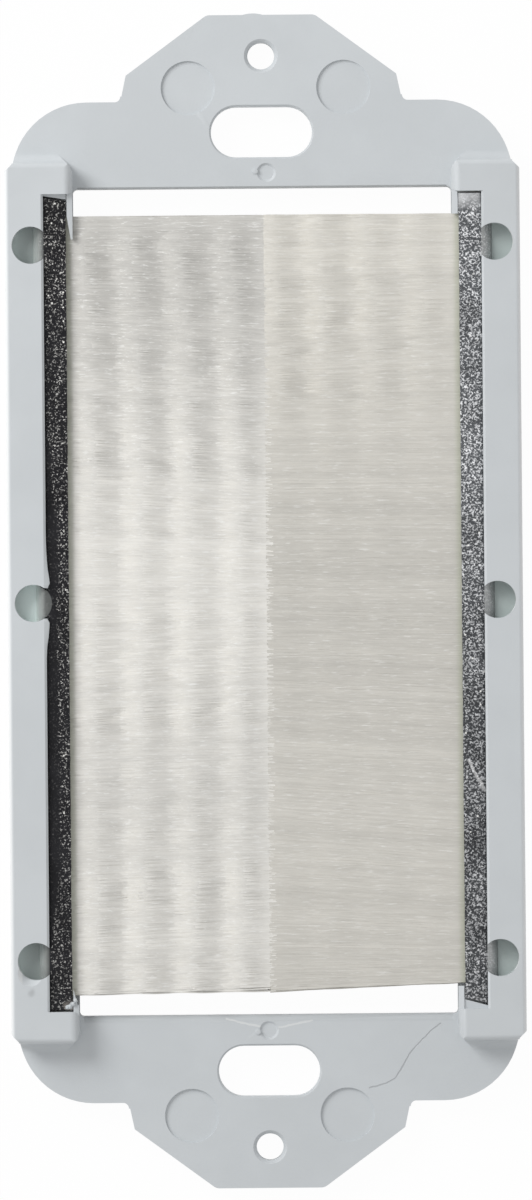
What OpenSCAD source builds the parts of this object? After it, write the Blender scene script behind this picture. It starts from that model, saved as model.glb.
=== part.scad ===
// Brush insert that closes the opening of a single-gang wall plate round its cables.
// It lies on its flat front, X is across it, Y along it, and +Z is the raised back.

/* [Window] */
// Width of the window
window_w = 33.6; // [28:0.1:40]
// How far the window runs past each end of the pockets
window_past_pocket = 0.5; // [0.1:0.1:1.2]
// Radius of the window's corners
window_corner_r = 0.4; // [0.2:0.1:2]
// Width of the chamfer on the window's lower edge
window_edge = 0.6; // [0.2:0.1:1]
// Width of the chamfer on the window's upper edge
upper_edge = 0.15; // [0.1:0.05:1]

/* [Rails] */
// Ledge of the pocket floor between the window and the channel's mouth
ledge_w = 0.6; // [0.2:0.1:2]
// Thickness of the pocket floor
floor_t = 1; // [0.6:0.1:1.8]
// Wall outside the pocket
rail_wall = 2.4; // [1.8:0.1:4]
// Thickness of the lip over the channel
lip_t = 0.8; // [0.5:0.1:2]
// How far the lip reaches over the channel
lip_reach = 1; // [0.4:0.1:1.4]
// Length of the solid block at each end of a rail
end_block = 2.8; // [1.8:0.1:4]
// Radius of the rail's outer top edge
rail_round = 0.4; // [0.3:0.1:1.4]
// Radius of the block's top edge along the window
block_round = 0.8; // [0.2:0.1:1]
// Radius of the top edges of the rail's ends
end_round = 0.5; // [0.2:0.1:0.8]
// Radius of the block's corner towards the ear, seen from above
block_corner = 0.9; // [0.3:0.1:1.2]
// Flat across the rail's outer corners
rail_corner = 0.8; // [0.3:0.1:1.2]
// Radius of the concave foot where a block's end meets the ear
foot_r = 0.9; // [0.2:0.1:1.2]
// Length of the nib that each block holds over the bristles' roots
nib_l = 4; // [1:0.1:6]
// Thickness of a nib
nib_t = 0.6; // [0.4:0.1:0.8]

/* [Recesses] */
// Diameter of the round recesses along the rails
recess_d = 3.3; // [2:0.1:3.8]
// Spacing of the recesses along a rail
recess_pitch = 31.7; // [20:0.1:32]
// How far outside the pocket wall a recess has its centre
recess_offset = 0.15; // [0:0.05:0.3]
// Height of the recesses' floor over the flat front
recess_floor = 3.1; // [1:0.1:3.5]

/* [Ears] */
// Thickness of the ears
ear_t = 2.2; // [1.6:0.1:3]
// How far the ear's sides lie inside the rails' outer faces
ear_inset = 0.6; // [0.4:0.1:1.2]
// From the slots' centre line to the shoulder
shoulder_reach = 2.73; // [2.5:0.01:4]
// Radius of the shoulder's corners
shoulder_r = 6.65; // [2:0.05:7]
// Width of the neck at the shoulder
neck_base_w = 25; // [22:0.1:30]
// Width of the neck where it starts to slope in
neck_w = 24; // [21:0.1:29]
// Length of the neck before it slopes in
neck_l = 2.35; // [1:0.05:3]
// Radius of the notch between the neck and the shoulder
notch_r = 0.5; // [0.2:0.1:1.2]
// Width of the flat end of the ear
tip_w = 9.6; // [7:0.1:16]
// From the small hole's centre to the ear's flat end
tip_margin = 3.63; // [2.6:0.01:6]
// Radius of the corners of the flat end
tip_r = 0.9; // [0.3:0.1:2]

/* [Fixing holes] */
// Spacing of the box-screw slots
slot_pitch = 83.34; // [82:0.01:86]
// Length of a slot across the ear
slot_l = 9; // [7:0.1:11]
// Width of a slot
slot_w = 4.5; // [3.5:0.1:4.8]
// Chamfer round the top of a slot
slot_edge = 0.15; // [0.1:0.05:0.4]
// Spacing of the plate-screw holes
hole_pitch = 96.84; // [94:0.01:100]
// Diameter of a plate-screw hole
hole_d = 2.4; // [2:0.1:4]
// Chamfer round the top of a plate-screw hole
hole_edge = 0.3; // [0.1:0.05:0.5]

/* [Moulding marks] */
// Diameter of the round ejector marks
ejector_d = 4.8; // [3:0.1:5.5]
// Depth of an ejector mark
ejector_depth = 0.25; // [0.05:0.01:0.4]
// Spacing of the two ejector marks across an ear
ejector_pitch = 13.8; // [12:0.1:16]
// From the shoulder out to the ejector marks' centres
ejector_out = 1.2; // [0.5:0.1:2]
// Diameter of the small dimple at each end of the window
dimple_d = 1.7; // [1:0.1:2]
// Depth of the dimple
dimple_depth = 0.2; // [0.1:0.05:0.6]
// Diameter of the nub beside the dimple
nub_d = 0.5; // [0.3:0.1:0.8]
// Height of the nub
nub_h = 0.1; // [0.05:0.05:0.3]
// How far the upper ear's ejector marks and dimple lie off the centre line
upper_marks_offset = 0.4; // [-0.6:0.05:0.6]
// Width of the gate mark on the ear's end
gate_w = 1.8; // [1:0.1:3]
// How far the gate mark stands out
gate_h = 0.13; // [0.05:0.01:0.4]
// How far the gate mark lies off the centre line
gate_offset = -0.7; // [-2:0.1:2]
// Radius of the worn slope beside the left lower recess
worn_r = 1.1; // [0.6:0.1:1.3]

/* [Channels] */
// Length of a channel
channel_l = 72; // [60:0.1:73]
// Depth of a channel, from its mouth to its back
channel_w = 2.95; // [2.4:0.05:4]
// Height of a channel
channel_h = 3.1; // [2.8:0.1:4]
// Thickness of the channel's steel
channel_wall = 0.45; // [0.3:0.05:0.6]
// How far the left channel's upper end is cut back at its mouth
left_cut = 0.45; // [0:0.05:1.5]
// How far the right channel's lower end is cut back at its mouth
right_cut = 0.8; // [0:0.05:1.5]

/* [Core wires] */
// Diameter of a core wire
wire_d = 1.1; // [0.7:0.05:1.3]
// How far the wire's ends lie inside the channel's
wire_inset = 1.4; // [0.5:0.1:4]

/* [Bristles] */
// How far the bristles' ends lie inside the channel's
bristle_inset = 1.7; // [1:0.1:6]
// Width of one bundle of fibres
bundle_w = 1.8; // [1.5:0.05:4]
// Length of one crimp wave of the fibres
crimp_l = 4.35; // [3:0.05:8]
// Height of a crimp wave
crimp_h = 0.13; // [0.05:0.01:0.2]
// How much the bundles' heights differ
bundle_relief = 0.07; // [0.02:0.01:0.12]
// How much the bundles' ends differ in length
tip_ragged = 0.3; // [0.05:0.05:1]
// How far the left bristles' tips rise above their root
left_rise = 0.2; // [0:0.05:0.4]
// Gap between the two rows of tips
tip_gap = 0.16; // [0.05:0.01:1]

/* [Fits] */
// Gap between a channel's back and the pocket wall
channel_side_fit = 0.05; // [0.02:0.01:0.2]
// Gap between a channel's top and the lip
channel_top_fit = 0.1; // [0.02:0.01:0.3]
// Gap between a channel's end and the pocket's end
channel_end_fit = 0.2; // [0.05:0.05:0.6]
// Gap round the bristles inside the channel and round the wire
grip_fit = 0.02; // [0.01:0.01:0.04]
// Gap between a nib and the bristles or the channel
nib_gap = 0.1; // [0.05:0.05:0.2]

/* [Hidden] */

$fn = 96;
eps = 0.01;
arc_steps = 6;

// Across the insert, from the centre out
window_x = window_w / 2;
mouth_x = window_x + ledge_w;
pocket_x = mouth_x + channel_w + channel_side_fit;
lip_x = pocket_x - lip_reach;
recess_x = pocket_x + recess_offset;
rail_x = pocket_x + rail_wall;
ear_x = rail_x - ear_inset;

// Along the insert, from the centre out
pocket_y = channel_l / 2 + channel_end_fit;
window_y = pocket_y + window_past_pocket;
rail_y = pocket_y + end_block;
slot_y = slot_pitch / 2;
shoulder_y = slot_y + shoulder_reach;
slope_y = shoulder_y + neck_l;
hole_y = hole_pitch / 2;
tip_y = hole_y + tip_margin;
ejector_y = shoulder_y + ejector_out;
dimple_y = (window_y + slot_y - slot_w / 2) / 2;

// Up from the flat front
lip_z = floor_t + channel_h + channel_top_fit;
rail_h = lip_z + lip_t;
axis_z = floor_t + channel_h / 2;
nib_z = axis_z + channel_h / 2 - channel_wall + nib_gap;

// The channel's back is a half round about this axis, which the wire shares
back_r = channel_h / 2;
axis_x = mouth_x + channel_w - back_r;
inner_r = back_r - channel_wall;
grip_r = inner_r - grip_fit;
wire_r = wire_d / 2;
wire_l = channel_l - 2 * wire_inset;

bristle_l = channel_l - 2 * bristle_inset;
tip_x = tip_gap / 2;
bundles = floor(bristle_l / bundle_w);
bundle_pitch = bristle_l / bundles;
crimp_steps = 4;
free_l = mouth_x - tip_x;
steps = ceil(free_l / crimp_l * crimp_steps);
bundle_lap = 0.02;

moulded_white = [0.80, 0.82, 0.83];
dark_zinc = [0.25, 0.26, 0.27];
light_zinc = [0.55, 0.57, 0.58];
wire_steel = [0.45, 0.45, 0.46];
nylon = [0.80, 0.79, 0.75];

// Points of an arc about [x, y] from angle a to angle b
function arc(x, y, r, a, b) =
    [for (i = [0 : arc_steps]) let (t = a + (b - a) * i / arc_steps) [x + r * cos(t), y + r * sin(t)]];

// A number from -1 to 1 that looks random and is the same each time
function scatter(i, seed) = 2 * rands(0, 1, 1, seed * 1000 + i)[0] - 1;

module both_sides() {
    children();
    mirror([1, 0, 0]) children();
}

module both_ends() {
    children();
    mirror([0, 1, 0]) children();
}

// The marks of both ears, those of the upper one off the centre line
module moved_marks() {
    translate([upper_marks_offset, 0, 0]) children();
    mirror([0, 1, 0]) children();
}

// Turns a profile drawn in X and Z into a bar along Y, centred on the origin
module along_y(length) {
    rotate([90, 0, 0])
        linear_extrude(length, center = true)
            children();
}

// Turns a profile drawn in Y and Z into a bar along X from x = 0
module along_x(length) {
    rotate([90, 0, 90])
        linear_extrude(length)
            children();
}

// Frame

// The neck narrows from the shoulder to a flat end with rounded corners
module neck() {
    slope = atan2(tip_y - slope_y, (neck_w - tip_w) / 2);
    linear_extrude(ear_t)
        polygon(concat(
            [[-neck_base_w / 2, shoulder_y - shoulder_r], [neck_base_w / 2, shoulder_y - shoulder_r]],
            [[neck_base_w / 2, shoulder_y], [neck_w / 2, slope_y]],
            arc(tip_w / 2 - tip_r * tan(slope / 2), tip_y - tip_r, tip_r, 90 - slope, 90),
            arc(-tip_w / 2 + tip_r * tan(slope / 2), tip_y - tip_r, tip_r, 90, 90 + slope),
            [[-neck_w / 2, slope_y], [-neck_base_w / 2, shoulder_y]]
        ));
}

// Fills the inner corner between the neck and the shoulder with a concave round
module notch_fill() {
    translate([neck_base_w / 2, shoulder_y, 0])
        difference() {
            translate([-notch_r, -notch_r, 0])
                cube([2 * notch_r, 2 * notch_r, ear_t]);
            translate([notch_r, notch_r, -eps])
                cylinder(r = notch_r, h = ear_t + 2 * eps);
        }
}

module shoulder() {
    translate([-ear_x + shoulder_r, 0, 0])
        cube([2 * (ear_x - shoulder_r), shoulder_y, ear_t]);
    translate([-ear_x, 0, 0])
        cube([2 * ear_x, shoulder_y - shoulder_r, ear_t]);
    both_sides()
        translate([ear_x - shoulder_r, shoulder_y - shoulder_r, 0])
            cylinder(r = shoulder_r, h = ear_t);
}

module ear() {
    shoulder();
    neck();
    both_sides()
        notch_fill();
}

// A low round hump on the upper ear's end
module gate_mark() {
    r = (gate_w * gate_w / 4 + gate_h * gate_h) / (2 * gate_h);
    translate([gate_offset, tip_y + gate_h, 0])
        linear_extrude(ear_t)
            polygon(concat([[gate_w / 2, -tip_margin / 4], [-gate_w / 2, -tip_margin / 4]],
                arc(0, -r, r, 90 + asin(gate_w / 2 / r), 90 - asin(gate_w / 2 / r))));
}

module nub() {
    translate([-(dimple_d + nub_d) / 2 + 0.1, dimple_y + nub_d / 4, ear_t - eps])
        cylinder(d = nub_d, h = nub_h + eps);
}

// Outline of a rail from above: a wall with a block at each end
module rail_plan() {
    r = end_round;
    c = block_corner;
    upper = concat(
        arc(window_x + r, pocket_y + r, r, 270, 180),
        arc(window_x + c, rail_y - c, c, 180, 90),
        [[rail_x - rail_corner, rail_y], [rail_x, rail_y - rail_corner]]
    );
    lower = [for (i = [len(upper) - 1 : -1 : 0]) [upper[i][0], -upper[i][1]]];
    linear_extrude(rail_h)
        polygon(concat([[pocket_x, pocket_y]], upper, lower, [[pocket_x, -pocket_y]]));
}

// Section of a rail across it, with its top edges rounded
module rail_section() {
    along_y(2 * rail_y)
        polygon(concat(
            [[window_x, 0], [rail_x, 0]],
            arc(rail_x - rail_round, rail_h - rail_round, rail_round, 0, 90),
            arc(window_x + block_round, rail_h - block_round, block_round, 90, 180)
        ));
}

// Side view of a rail, with the top edges of its ends rounded
module rail_side() {
    translate([window_x, 0, 0])
        along_x(rail_x - window_x)
            polygon(concat(
                [[-rail_y, 0], [rail_y, 0]],
                arc(rail_y - end_round, rail_h - end_round, end_round, 0, 90),
                arc(-rail_y + end_round, rail_h - end_round, end_round, 90, 180)
            ));
}

module lip() {
    edge = lip_t / 4;
    along_y(2 * pocket_y + block_round)
        polygon([
            [lip_x, lip_z],
            [pocket_x + eps, lip_z],
            [pocket_x + eps, rail_h],
            [lip_x + edge, rail_h],
            [lip_x, rail_h - edge],
        ]);
}

module rail() {
    intersection() {
        rail_plan();
        rail_section();
        rail_side();
    }
    lip();
}

// Concave foot along a block's end, cut at a slant towards the window
module block_foot() {
    c = block_corner;
    intersection() {
        translate([window_x, rail_y, ear_t - eps])
            along_x(ear_x - window_x)
                polygon(concat([[-c, 0], [foot_r, 0]], arc(foot_r, foot_r + eps, foot_r, 270, 180), [[-c, foot_r]]));
        linear_extrude(rail_h)
            polygon([[window_x + c / 2, rail_y - c], [window_x + c / 2, rail_y], [window_x + c / 2 + foot_r, rail_y + foot_r],
                [ear_x, rail_y + foot_r], [ear_x, rail_y - c]]);
    }
}

// Narrow nib that reaches from a block along the channel's mouth, over the bristles' roots
module nib() {
    side = mouth_x - nib_gap;
    translate([0, 0, nib_z])
        linear_extrude(nib_t)
            polygon([[window_x, pocket_y + end_round], [side, pocket_y + end_round], [side, pocket_y - nib_l / 2],
                [window_x + (side - window_x) / 3, pocket_y - nib_l], [window_x, pocket_y - nib_l]]);
}

// Fills the end of a pocket up to the channel's slanted end
module end_stop(cut) {
    translate([0, 0, floor_t - eps])
        linear_extrude(lip_z - floor_t + 2 * eps)
            polygon([[mouth_x, pocket_y + eps], [mouth_x, pocket_y - cut], [mouth_x + channel_w, pocket_y],
                [mouth_x + channel_w, pocket_y + eps]]);
}

module window_cut() {
    r = window_corner_r;
    translate([-window_x + r, -window_y, -eps])
        cube([window_w - 2 * r, 2 * window_y, rail_h + 2 * eps]);
    translate([-window_x, -window_y + r, -eps])
        cube([window_w, 2 * (window_y - r), rail_h + 2 * eps]);
    both_sides()
        both_ends()
            translate([window_x - r, window_y - r, -eps])
                cylinder(r = r, h = rail_h + 2 * eps);
}

// Chamfer between the two blocks, along one end of the window
module window_chamfer(edge) {
    translate([-window_x + window_corner_r, window_y, ear_t])
        along_x(window_w - 2 * window_corner_r)
            polygon([[-eps, -edge], [edge + eps, eps], [-eps, eps]]);
}

module pocket_cut() {
    translate([window_x - eps, -pocket_y, floor_t])
        cube([pocket_x - window_x + eps, 2 * pocket_y, lip_z - floor_t]);
}

module recess_cut() {
    translate([recess_x, 0, recess_floor])
        cylinder(d = recess_d, h = rail_h);
}

// Slope worn into the edge of the left lower recess
module worn_cut() {
    translate([-recess_x - worn_r / 2, -recess_pitch - worn_r, rail_h - worn_r])
        cylinder(r1 = eps, r2 = worn_r + eps, h = worn_r + eps);
}

// A slot with round ends and a chamfer round its top
module slot_cut() {
    end_x = (slot_l - slot_w) / 2;
    r = slot_w / 2;
    translate([0, slot_y, 0]) {
        translate([-end_x, -r, -eps])
            cube([2 * end_x, slot_w, ear_t + 2 * eps]);
        translate([-end_x, 0, 0])
            along_x(2 * end_x)
                polygon([[-r, ear_t - slot_edge], [r, ear_t - slot_edge], [r + slot_edge, ear_t],
                    [r + slot_edge, ear_t + eps], [-r - slot_edge, ear_t + eps], [-r - slot_edge, ear_t]]);
        both_sides()
            translate([end_x, 0, 0])
                round_cut(slot_w, slot_edge);
    }
}

// A round hole with a chamfer round its top
module round_cut(d, edge) {
    translate([0, 0, -eps])
        cylinder(d = d, h = ear_t + 2 * eps);
    translate([0, 0, ear_t - edge])
        cylinder(d1 = d, d2 = d + 2 * edge, h = edge);
    translate([0, 0, ear_t])
        cylinder(d = d + 2 * edge, h = eps);
}

module ejector_cut() {
    translate([ejector_pitch / 2, ejector_y, ear_t - ejector_depth])
        cylinder(d = ejector_d, h = ejector_depth + eps);
}

module dimple_cut() {
    translate([0, dimple_y, ear_t - dimple_depth])
        cylinder(d1 = dimple_d - 2 * dimple_depth, d2 = dimple_d + 2 * eps, h = dimple_depth + eps);
}

module frame_blank() {
    difference() {
        union() {
            both_ends()
                ear();
            moved_marks()
                nub();
            gate_mark();
            both_sides() {
                rail();
                both_ends()
                    block_foot();
            }
        }
        window_cut();
        window_chamfer(upper_edge);
        mirror([0, 1, 0])
            window_chamfer(window_edge);
        both_sides() {
            pocket_cut();
            for (place = [-1 : 1])
                translate([0, place * recess_pitch, 0])
                    recess_cut();
        }
        worn_cut();
        both_ends() {
            slot_cut();
            translate([0, hole_y, 0])
                round_cut(hole_d, hole_edge);
        }
        moved_marks() {
            both_sides()
                ejector_cut();
            dimple_cut();
        }
    }
}

module frame() {
    color(moulded_white) {
        frame_blank();
        both_sides()
            both_ends()
                nib();
        mirror([1, 0, 0])
            end_stop(left_cut);
        mirror([0, 1, 0])
            end_stop(right_cut);
    }
}

// Channels

// Section of the folded steel, in X and Z: two legs and a half-round back
module channel_section() {
    difference() {
        intersection() {
            union() {
                translate([axis_x, axis_z])
                    circle(r = back_r);
                translate([mouth_x, floor_t])
                    square([axis_x - mouth_x, channel_h]);
            }
            translate([mouth_x, floor_t])
                square([channel_w, channel_h]);
        }
        translate([axis_x, axis_z])
            circle(r = inner_r);
        translate([mouth_x - eps, axis_z - inner_r])
            square([axis_x - mouth_x + eps, 2 * inner_r]);
    }
}

// One channel on the +X side, with its +Y end cut at a slant
module channel(cut) {
    slant = atan2(cut, channel_w);
    difference() {
        along_y(channel_l)
            channel_section();
        translate([mouth_x + channel_w, channel_l / 2, 0])
            rotate([0, 0, slant])
                translate([-2 * channel_w, 0, 0])
                    cube([3 * channel_w, 2 * channel_w, rail_h]);
    }
}

module left_channel() {
    color(dark_zinc)
        mirror([1, 0, 0])
            channel(left_cut);
}

module right_channel() {
    color(light_zinc)
        mirror([0, 1, 0])
            channel(right_cut);
}

// Core wires

module core_wire() {
    translate([axis_x, wire_l / 2, axis_z])
        rotate([90, 0, 0])
            cylinder(r = wire_r, h = wire_l);
}

module left_core_wire() {
    color(wire_steel)
        mirror([1, 0, 0])
            core_wire();
}

module right_core_wire() {
    color(wire_steel)
        core_wire();
}

// Bristles

// Root of the pack, in X and Z: fibres doubled round the wire and out of the mouth
module root_section() {
    difference() {
        union() {
            translate([axis_x, axis_z])
                circle(r = grip_r);
            translate([mouth_x - crimp_l / crimp_steps, axis_z - grip_r])
                square([axis_x - mouth_x + crimp_l / crimp_steps, 2 * grip_r]);
        }
        translate([axis_x, axis_z])
            circle(r = wire_r + grip_fit);
    }
}

// Height of a fibre's path at a distance s from the mouth, where it starts straight
function path_z(s, phase, rise) =
    rise * pow(s / free_l, 2) + crimp_h * min(1, s / crimp_l) * sin(360 * s / crimp_l + phase);

// One bundle as a waved strip, in X and Z, from the mouth to its tip
module bundle_section(phase, rise, half_t, reach) {
    upper = [for (i = [0 : steps]) let (s = reach * i / steps)
        [mouth_x - s, axis_z + half_t + path_z(s, phase, rise)]];
    lower = [for (i = [steps : -1 : 0]) let (s = reach * i / steps)
        [mouth_x - s, axis_z - half_t + path_z(s, phase, rise)]];
    polygon(concat(upper, lower));
}

// A pack on the +X side: the root and a row of bundles of unequal height and length
module bristle_pack(seed, rise) {
    along_y(bristle_l)
        root_section();
    for (i = [0 : bundles - 1]) {
        phase = 30 * scatter(floor(i / 4), seed);
        half_t = grip_r - bundle_relief * (1.5 + scatter(i, seed + 1)) - crimp_h / 4;
        reach = free_l - tip_ragged * (1 + scatter(i, seed + 2)) / 2;
        translate([0, (i + 0.5) * bundle_pitch - bristle_l / 2, 0])
            along_y(bundle_pitch + (i < bundles - 1 ? 2 * bundle_lap : 0))
                bundle_section(phase, rise, half_t, reach);
    }
}

module left_bristles() {
    color(nylon)
        mirror([1, 0, 0])
            bristle_pack(1, left_rise);
}

module right_bristles() {
    color(nylon)
        bristle_pack(5, 0);
}

frame();
left_channel();
right_channel();
left_core_wire();
right_core_wire();
left_bristles();
right_bristles();
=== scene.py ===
"""Brush insert of a single-gang wall plate: looks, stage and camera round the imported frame.

Lengths in the settings are metres. X runs across the insert, Y along it and Z out of its raised back.
"""

import math
import random

import bmesh
import bpy
import numpy as np
from bpy.props import FloatProperty, FloatVectorProperty, IntProperty, PointerProperty
from mathutils import Matrix, Vector


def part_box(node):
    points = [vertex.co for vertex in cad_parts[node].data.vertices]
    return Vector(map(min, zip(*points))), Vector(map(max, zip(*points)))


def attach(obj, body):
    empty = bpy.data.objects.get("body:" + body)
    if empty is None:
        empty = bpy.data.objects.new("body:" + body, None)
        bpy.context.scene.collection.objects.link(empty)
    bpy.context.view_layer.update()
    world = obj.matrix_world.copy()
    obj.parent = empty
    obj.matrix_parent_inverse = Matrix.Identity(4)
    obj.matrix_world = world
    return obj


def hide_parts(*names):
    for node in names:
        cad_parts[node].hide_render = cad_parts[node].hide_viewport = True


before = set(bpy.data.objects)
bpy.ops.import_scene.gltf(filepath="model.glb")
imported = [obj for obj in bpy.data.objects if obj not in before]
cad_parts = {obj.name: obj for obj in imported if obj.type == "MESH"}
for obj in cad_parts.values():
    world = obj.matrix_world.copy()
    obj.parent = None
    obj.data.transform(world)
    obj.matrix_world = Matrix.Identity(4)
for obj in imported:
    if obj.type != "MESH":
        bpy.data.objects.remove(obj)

bl_info = {
    "name": "Brush cable grommet",
    "version": (1, 0, 0),
    "blender": (4, 5, 0),
    "location": "3D View > Sidebar > Brush Insert",
    "description": "Builds the moulded frame, the zinc channels and the crimped bristle packs of a brush insert",
    "category": "Object",
}

MM = 0.001
SEED = 41

MOUTH_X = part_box("right_channel")[0].x
CHANNEL_BACK_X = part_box("right_channel")[1].x
CHANNEL_FLOOR_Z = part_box("right_channel")[0].z
CHANNEL_TOP_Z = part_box("right_channel")[1].z
AXIS_Z = (CHANNEL_FLOOR_Z + CHANNEL_TOP_Z) / 2
PACK_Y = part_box("right_bristles")[1].y
TIP_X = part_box("right_bristles")[0].x
EAR_TOP_Z = 2.2 * MM
LIP_X = 19.4 * MM

# The round recesses: their axes, where their edge fades out, and how far along Y the middle one reaches
RECESS_X = 20.55 * MM
RECESS_PITCH = 31.7 * MM
RECESS_EDGE = (1.6 * MM, 1.72 * MM)
MIDDLE_RECESS = (4 * MM, 5 * MM)

# Fibres: the free length past the channel's mouth and the root inside it
FREE_L = MOUTH_X - TIP_X
ROOT_L = 1.3 * MM
FIBRE_SEGMENTS = 24
UV_COLUMNS = 8
# Height of the outer fibres and of the slab under them over the pack's middle, in millimetres
FIBRE_LEVEL = 0.9
SLAB_LEVEL = 0.885
# Height of a fibre's section as a share of its width
FLATNESS = 0.4
# Where the last fibres lie along Y, and how far past that a leaning one may run, in millimetres
PACK_END = PACK_Y / MM - 0.08
LEAN_ROOM = 0.55

# Angle between faces past which an edge stays sharp
SHARP_EDGE = math.radians(35)

# Courses of the flaws that the photograph shows, in millimetres on the face that they lie on
EAR_CRACK = (
    (15.2, -37.6),
    (14.3, -38.3),
    (12.65, -39.99),
    (11.73, -41.6),
    (11.13, -42.45),
    (10.3, -42.9),
    (8.86, -43.25),
)
# Not a flaw: the course of pale lines of painted highlight along the chamfer below the lower window edge
EDGE_HIGHLIGHT_LINES = ((-3.8, -37.05), (-0.85, -37.7), (0.87, -37.8), (3.8, -37.2))
CHANNEL_SCRATCH = ((17.9, -14.2), (18.35, -15.2), (19.3, -16.9))


# Settings


class MouldingSettings(bpy.types.PropertyGroup):
    edge_radius: FloatProperty(
        name="Edge radius",
        description="Radius of the frame's moulded edges",
        default=0.13 * MM,
        unit="LENGTH",
    )
    mark_radius: FloatProperty(
        name="Mark edge radius",
        description="Radius of the edges of the ejector marks, the dimples and the gate mark",
        default=0.09 * MM,
        unit="LENGTH",
    )
    colour: FloatVectorProperty(
        name="Colour", description="Colour of the moulded plastic", default=(0.62, 0.65, 0.67), size=3, subtype="COLOR"
    )
    # The recesses' colour is painted light let through the plastic, with painted shade
    recess_light_and_shade_colour: FloatVectorProperty(
        name="Recess colour",
        description="Colour of the plastic inside the round recesses, which light comes through",
        default=(0.62, 0.70, 0.685),
        size=3,
        subtype="COLOR",
    )
    grain_depth: FloatProperty(
        name="Grain depth", description="Depth of the fine grain of the mould", default=0.012 * MM, unit="LENGTH"
    )


class ChannelSettings(bpy.types.PropertyGroup):
    # The two grounds are painted shaded and lit copies of one zinc: the left darker, as shaded, the right lighter, as
    # lit
    shaded_zinc_colour: FloatVectorProperty(
        name="Dark zinc",
        description="Ground colour of the left channel",
        default=(0.014, 0.014, 0.016),
        size=3,
        subtype="COLOR",
    )
    lit_zinc_colour: FloatVectorProperty(
        name="Light zinc",
        description="Ground colour of the right channel",
        default=(0.085, 0.09, 0.096),
        size=3,
        subtype="COLOR",
    )
    grain: FloatProperty(
        name="Grain size", description="Size of the zinc's bright grains", default=0.18 * MM, unit="LENGTH"
    )
    dent: FloatProperty(
        name="Unevenness",
        description="How far the folded steel departs from straight",
        default=0.03 * MM,
        unit="LENGTH",
    )


class BristleSettings(bpy.types.PropertyGroup):
    diameter: FloatProperty(
        name="Fibre diameter", description="Diameter of one nylon fibre", default=0.12 * MM, unit="LENGTH"
    )
    upper_fibres: IntProperty(name="Upper fibres", description="Fibres that show from above in a pack", default=1340)
    under_fibres: IntProperty(name="Under fibres", description="Fibres that show from below in a pack", default=640)
    crimp_length: FloatProperty(
        name="Crimp length", description="Length of one wave of the fibres", default=4.35 * MM, unit="LENGTH"
    )
    crimp_height: FloatProperty(
        name="Crimp height", description="Height of one wave of the fibres", default=0.225 * MM, unit="LENGTH"
    )
    colour: FloatVectorProperty(
        name="Colour",
        description="Colour of a clear fibre over its neighbours",
        default=(0.79, 0.775, 0.735),
        size=3,
        subtype="COLOR",
    )


class StageSettings(bpy.types.PropertyGroup):
    camera_height: FloatProperty(
        name="Camera height", description="Height of the camera over the ears", default=1.0, unit="LENGTH"
    )
    view_height: FloatProperty(
        name="View height",
        description="Length of the picture at the height of the ears",
        default=106.48 * MM,
        unit="LENGTH",
    )
    roll: FloatProperty(
        name="Roll", description="Turn of the insert in the picture", default=math.radians(0.5), subtype="ANGLE"
    )
    key_power: FloatProperty(
        name="Key lamp", description="Power of the soft lamp at the upper left", default=1.14, unit="POWER"
    )
    sky: FloatProperty(name="Room light", description="Strength of the even light of the room", default=0.55)


# Meshes and pieces


def finished_piece(name, bm, material, replaced=()):
    """Turns a bmesh in metres into a piece."""
    mesh = bpy.data.meshes.new(name)
    bm.to_mesh(mesh)
    bm.free()
    return placed_piece(name, mesh, material, replaced)


def placed_piece(name, mesh, material, replaced=()):
    """Puts a mesh in the scene as a smooth-shaded piece that rides on the insert."""
    mesh.name = name
    mesh.shade_smooth()
    mesh.set_sharp_from_angle(angle=SHARP_EDGE)
    mesh.materials.clear()
    mesh.materials.append(material)
    piece = bpy.data.objects.new(name, mesh)
    bpy.context.scene.collection.objects.link(piece)
    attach(piece, "root")
    for node in replaced:
        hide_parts(node)
    return piece


def merged_copy(node):
    """A copy of a CAD node's mesh in millimetres, with its loose triangles merged into flat faces."""
    bm = bmesh.new()
    bm.from_mesh(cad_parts[node].data)
    bmesh.ops.scale(bm, vec=(1 / MM, 1 / MM, 1 / MM), verts=bm.verts)
    bmesh.ops.remove_doubles(bm, verts=bm.verts, dist=0.002)
    bmesh.ops.dissolve_limit(bm, angle_limit=math.radians(0.4), verts=bm.verts, edges=bm.edges)
    return bm


def wander(value, seed, waves=5, longest=18.0):
    """A smooth curve between about -1 and 1 that wanders along value, given in millimetres."""
    draw = random.Random(seed)
    total = 0
    for i in range(waves):
        length = longest / (1.7**i)
        total = total + math.pow(0.8, i) * np.sin(2 * math.pi * value / length + draw.uniform(0, 2 * math.pi))
    return total / 2.2


# Materials


def new_material(name):
    """The node tree and the shader of a new material."""
    material = bpy.data.materials.new(name)
    material.use_nodes = True
    return material.node_tree, material.node_tree.nodes["Principled BSDF"]


def add(tree, kind, **sockets):
    """Adds a node and sets or links its inputs, which are named by their labels with underscores."""
    node = tree.nodes.new(kind)
    for name, value in sockets.items():
        fill(tree, node.inputs[name.replace("_", " ")], value)
    return node


def fill(tree, socket, value):
    """Links an output to an input, or sets the input to a value."""
    if isinstance(value, bpy.types.NodeSocket):
        tree.links.new(value, socket)
    else:
        socket.default_value = value


def maths(tree, operation, *values, clamp=False):
    """A Math node on sockets or numbers."""
    node = tree.nodes.new("ShaderNodeMath")
    node.operation = operation
    node.use_clamp = clamp
    for i, value in enumerate(values):
        fill(tree, node.inputs[i], value)
    return node.outputs[0]


def ramped(tree, value, low, high, from_value=0.0, to_value=1.0, smooth=True):
    """Value from low to high brought to from_value to to_value."""
    node = tree.nodes.new("ShaderNodeMapRange")
    node.interpolation_type = "SMOOTHSTEP" if smooth else "LINEAR"
    for name, number in (("From Min", low), ("From Max", high), ("To Min", from_value), ("To Max", to_value)):
        node.inputs[name].default_value = number
    fill(tree, node.inputs["Value"], value)
    return node.outputs["Result"]


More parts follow.
